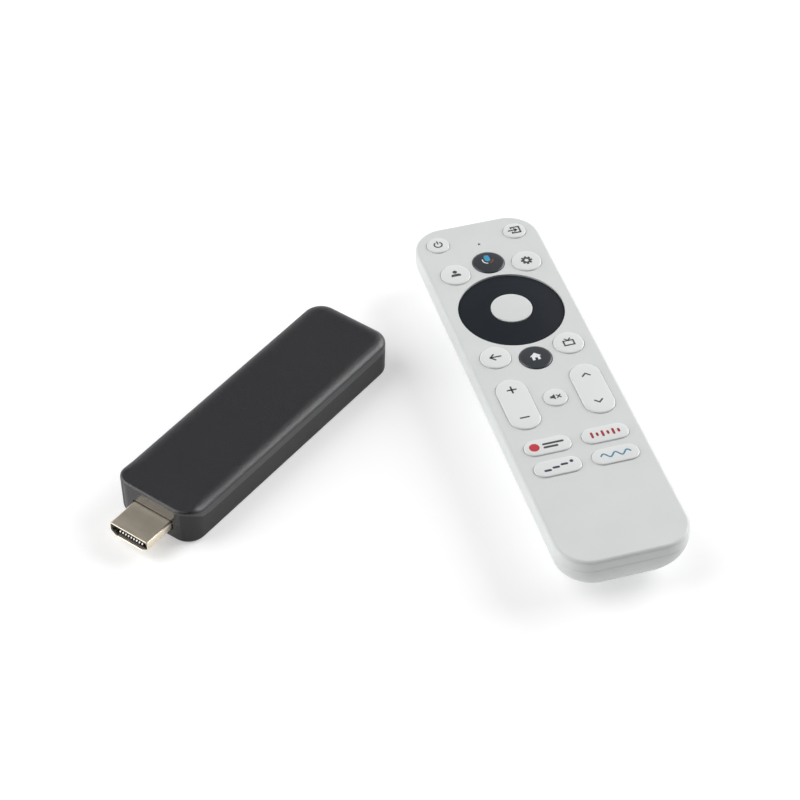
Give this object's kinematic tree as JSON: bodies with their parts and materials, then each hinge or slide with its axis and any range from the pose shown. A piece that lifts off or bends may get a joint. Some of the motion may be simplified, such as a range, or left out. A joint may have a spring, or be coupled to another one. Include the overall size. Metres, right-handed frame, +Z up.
{
  "type": "streaming media player",
  "caption": "Flat HDMI streaming stick with its hand remote: opening housings, boards and shields inside, sprung keys, two rockers, a direction pad, AAA cells and a sliding battery door.",
  "frame": {"origin": "centre of the stick's flat base, on the surface that the stick and the remote lie on", "axes": "+Y along the stick away from its plug, so the plug points to -Y; +Z up; the remote lies beside the stick on +X, turned 53.3 degrees anticlockwise"},
  "size_m": [0.1433, 0.1681, 0.0167],
  "materials": {
    "charcoal_plastic": "fine moulded texture, satin sheen",
    "white_plastic": "fine matte moulding",
    "white_key_plastic": "satin moulding",
    "dark_key_plastic": "satin moulding",
    "navy_grey_plastic": "fine matte moulding",
    "nickel_plate": "satin nickel plating",
    "gold_contact": "gold flash",
    "black_insulator": "moulded",
    "green_board": "solder mask",
    "chip_resin": "moulded resin",
    "tinned_steel": "tin plating",
    "aluminium_sheet": "rolled sheet",
    "thermal_silicone": "soft pad",
    "silicone_rubber": "moulded silicone",
    "clear_plastic": "clear moulding",
    "infrared_window": "polished, passes infrared",
    "cell_jacket": null
  },
  "bodies": {
    "player": {"player_top_cover": "charcoal_plastic", "player_bottom_cover": "charcoal_plastic", "hdmi_plug_shell": "nickel_plate", "hdmi_insulator": "black_insulator", "hdmi_contacts_upper": "gold_contact", "hdmi_contacts_lower": "gold_contact", "main_board": "green_board", "processor": "chip_resin", "memory_chip": "chip_resin", "flash_chip": "chip_resin", "thermal_pad": "thermal_silicone", "rf_shield": "tinned_steel", "heat_spreader": "aluminium_sheet", "wifi_module": "tinned_steel", "antenna": "gold_contact", "power_inductor": "chip_resin", "clock_crystal": "tinned_steel", "micro_usb_port": "tinned_steel", "micro_usb_tongue": "black_insulator", "reset_switch": "chip_resin", "status_light_guide": "clear_plastic", "status_led": "clear_plastic"},
    "remote": {"remote_top_cover": "white_plastic", "remote_bottom_cover": "white_plastic", "remote_board": "green_board", "radio_chip": "chip_resin", "microphone": "tinned_steel", "radio_crystal": "tinned_steel", "battery_contact_link": "tinned_steel", "battery_contact_plus": "tinned_steel", "battery_contact_minus": "tinned_steel", "battery_spring_left": "tinned_steel", "battery_spring_right": "tinned_steel", "board_capacitor": "aluminium_sheet", "key_mat": "silicone_rubber", "infrared_window": "infrared_window", "infrared_led": "infrared_window", "battery_left": "cell_jacket", "battery_right": "cell_jacket"},
    "power_key": {"power_key": "white_key_plastic"},
    "input_key": {"input_key": "white_key_plastic"},
    "assistant_key": {"assistant_key": "dark_key_plastic"},
    "profile_key": {"profile_key": "white_key_plastic"},
    "settings_key": {"settings_key": "white_key_plastic"},
    "back_key": {"back_key": "white_key_plastic"},
    "home_key": {"home_key": "dark_key_plastic"},
    "live_tv_key": {"live_tv_key": "white_key_plastic"},
    "mute_key": {"mute_key": "white_key_plastic"},
    "app_key_1": {"app_key_1": "white_key_plastic"},
    "app_key_2": {"app_key_2": "white_key_plastic"},
    "app_key_3": {"app_key_3": "white_key_plastic"},
    "app_key_4": {"app_key_4": "white_key_plastic"},
    "ok_key": {"ok_key": "white_key_plastic"},
    "volume_rocker": {"volume_rocker": "white_key_plastic"},
    "channel_rocker": {"channel_rocker": "white_key_plastic"},
    "dpad_ring": {"dpad_ring": "navy_grey_plastic"},
    "dpad_rocker_plate": {"dpad_rocker_plate": "dark_key_plastic"},
    "battery_door": {"battery_door": "white_plastic"},
    "reset_button": {"reset_button": "charcoal_plastic"}
  },
  "joints": [
    {"name": "remote_lift", "type": "slide", "parent": "player", "child": "remote", "axis": [0, 0, 1], "range_m": [0, 0.1]},
    {"name": "power_press", "type": "slide", "parent": "remote", "child": "power_key", "axis": [0, 0, -1], "range_m": [0, 0.0005], "stiffness_N_per_m": 800},
    {"name": "input_press", "type": "slide", "parent": "remote", "child": "input_key", "axis": [0, 0, -1], "range_m": [0, 0.0005], "stiffness_N_per_m": 800},
    {"name": "assistant_press", "type": "slide", "parent": "remote", "child": "assistant_key", "axis": [0, 0, -1], "range_m": [0, 0.0005], "stiffness_N_per_m": 800},
    {"name": "profile_press", "type": "slide", "parent": "remote", "child": "profile_key", "axis": [0, 0, -1], "range_m": [0, 0.0005], "stiffness_N_per_m": 800},
    {"name": "settings_press", "type": "slide", "parent": "remote", "child": "settings_key", "axis": [0, 0, -1], "range_m": [0, 0.0005], "stiffness_N_per_m": 800},
    {"name": "back_press", "type": "slide", "parent": "remote", "child": "back_key", "axis": [0, 0, -1], "range_m": [0, 0.0005], "stiffness_N_per_m": 800},
    {"name": "home_press", "type": "slide", "parent": "remote", "child": "home_key", "axis": [0, 0, -1], "range_m": [0, 0.0005], "stiffness_N_per_m": 800},
    {"name": "live_tv_press", "type": "slide", "parent": "remote", "child": "live_tv_key", "axis": [0, 0, -1], "range_m": [0, 0.0005], "stiffness_N_per_m": 800},
    {"name": "mute_press", "type": "slide", "parent": "remote", "child": "mute_key", "axis": [0, 0, -1], "range_m": [0, 0.0005], "stiffness_N_per_m": 800},
    {"name": "app_1_press", "type": "slide", "parent": "remote", "child": "app_key_1", "axis": [0, 0, -1], "range_m": [0, 0.0005], "stiffness_N_per_m": 800},
    {"name": "app_2_press", "type": "slide", "parent": "remote", "child": "app_key_2", "axis": [0, 0, -1], "range_m": [0, 0.0005], "stiffness_N_per_m": 800},
    {"name": "app_3_press", "type": "slide", "parent": "remote", "child": "app_key_3", "axis": [0, 0, -1], "range_m": [0, 0.0005], "stiffness_N_per_m": 800},
    {"name": "app_4_press", "type": "slide", "parent": "remote", "child": "app_key_4", "axis": [0, 0, -1], "range_m": [0, 0.0005], "stiffness_N_per_m": 800},
    {"name": "ok_press", "type": "slide", "parent": "remote", "child": "ok_key", "axis": [0, 0, -1], "range_m": [0, 0.0005], "stiffness_N_per_m": 800},
    {"name": "volume_rock", "type": "hinge", "parent": "remote", "child": "volume_rocker", "pos_m": [0.0631, 0.04138, 0.014], "axis": [0.5976, 0.8018, 0], "range_deg": [-2, 2], "stiffness_Nm_per_rad": 0.1},
    {"name": "channel_rock", "type": "hinge", "parent": "remote", "child": "channel_rocker", "pos_m": [0.07645, 0.05962, 0.014], "axis": [0.5976, 0.8018, 0], "range_deg": [-2, 2], "stiffness_Nm_per_rad": 0.1},
    {"name": "dpad_tilt_up_down", "type": "hinge", "parent": "remote", "child": "dpad_rocker_plate", "pos_m": [0.03813, 0.07397, 0.0143], "axis": [0.5976, 0.8018, 0], "range_deg": [-1.5, 1.5], "stiffness_Nm_per_rad": 0.15},
    {"name": "dpad_tilt_left_right", "type": "hinge", "parent": "dpad_rocker_plate", "child": "dpad_ring", "pos_m": [0.03813, 0.07397, 0.0143], "axis": [-0.8018, 0.5976, 0], "range_deg": [-1.5, 1.5], "stiffness_Nm_per_rad": 0.15},
    {"name": "battery_door_slide", "type": "slide", "parent": "remote", "child": "battery_door", "axis": [0.8018, -0.5976, 0], "range_m": [0, 0.058]},
    {"name": "reset_press", "type": "slide", "parent": "player", "child": "reset_button", "axis": [1, 0, 0], "range_m": [0, 0.0004], "stiffness_N_per_m": 800}
  ]
}
